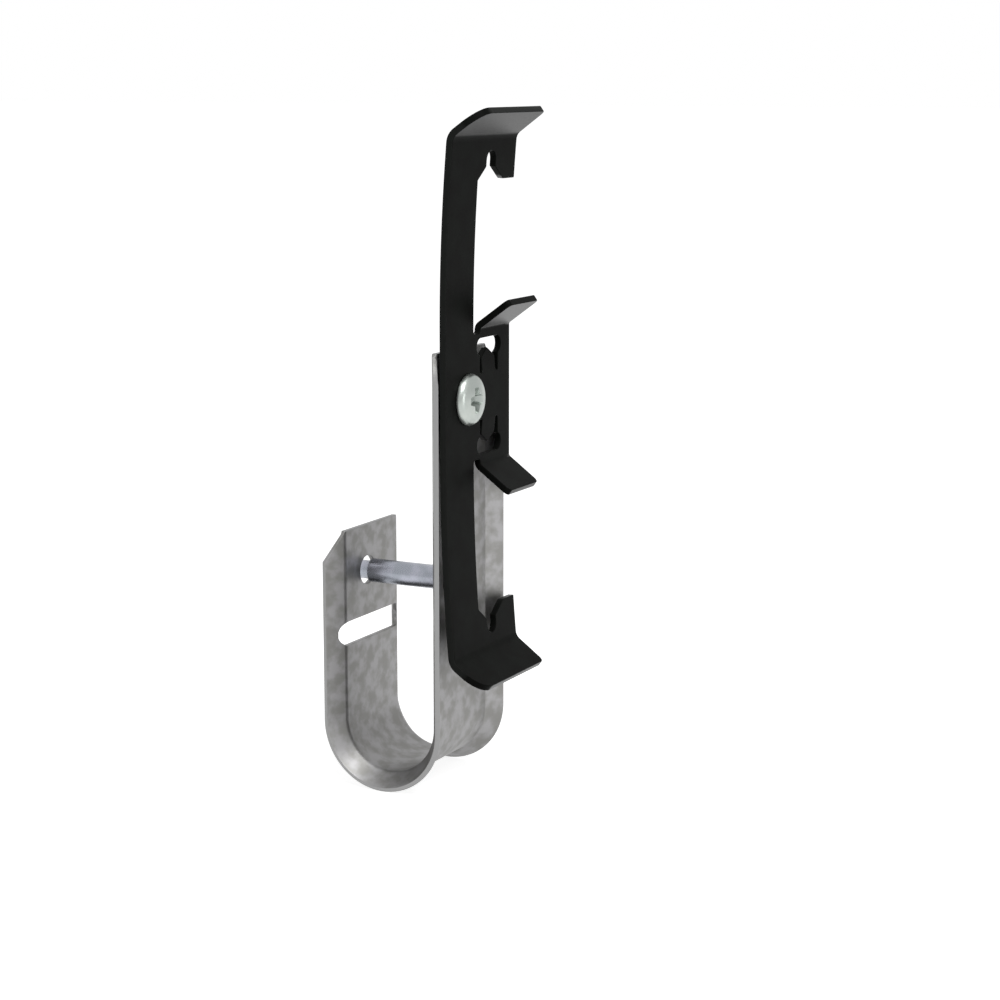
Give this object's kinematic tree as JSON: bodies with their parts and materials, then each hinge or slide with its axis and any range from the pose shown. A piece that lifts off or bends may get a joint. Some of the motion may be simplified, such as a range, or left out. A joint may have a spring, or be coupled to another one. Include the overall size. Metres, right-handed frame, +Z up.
{
  "type": "j hook cable support",
  "caption": "J-shaped strip with flared edges for a cable bundle, closed by a pin across its mouth, and held up by a bowed spring clip for hanger wire or rod.",
  "frame": {"origin": "centre of the saddle's curve, midway along the cables' direction", "axes": "+X along the cables, +Y from the back leg and clip towards the front leg, +Z up the legs towards the clip"},
  "size_m": [0.0272, 0.0344, 0.1293],
  "materials": {
    "galvanised_strip": "satin galvanised",
    "black_spring_steel": "satin black coating",
    "zinc_screw": "satin zinc plating",
    "zinc_pin": "bright zinc plating"
  },
  "bodies": {
    "root": {"j_hook": "galvanised_strip", "spring_clip": "black_spring_steel", "clip_screw": "zinc_screw", "retaining_pin": "zinc_pin"}
  },
  "joints": []
}
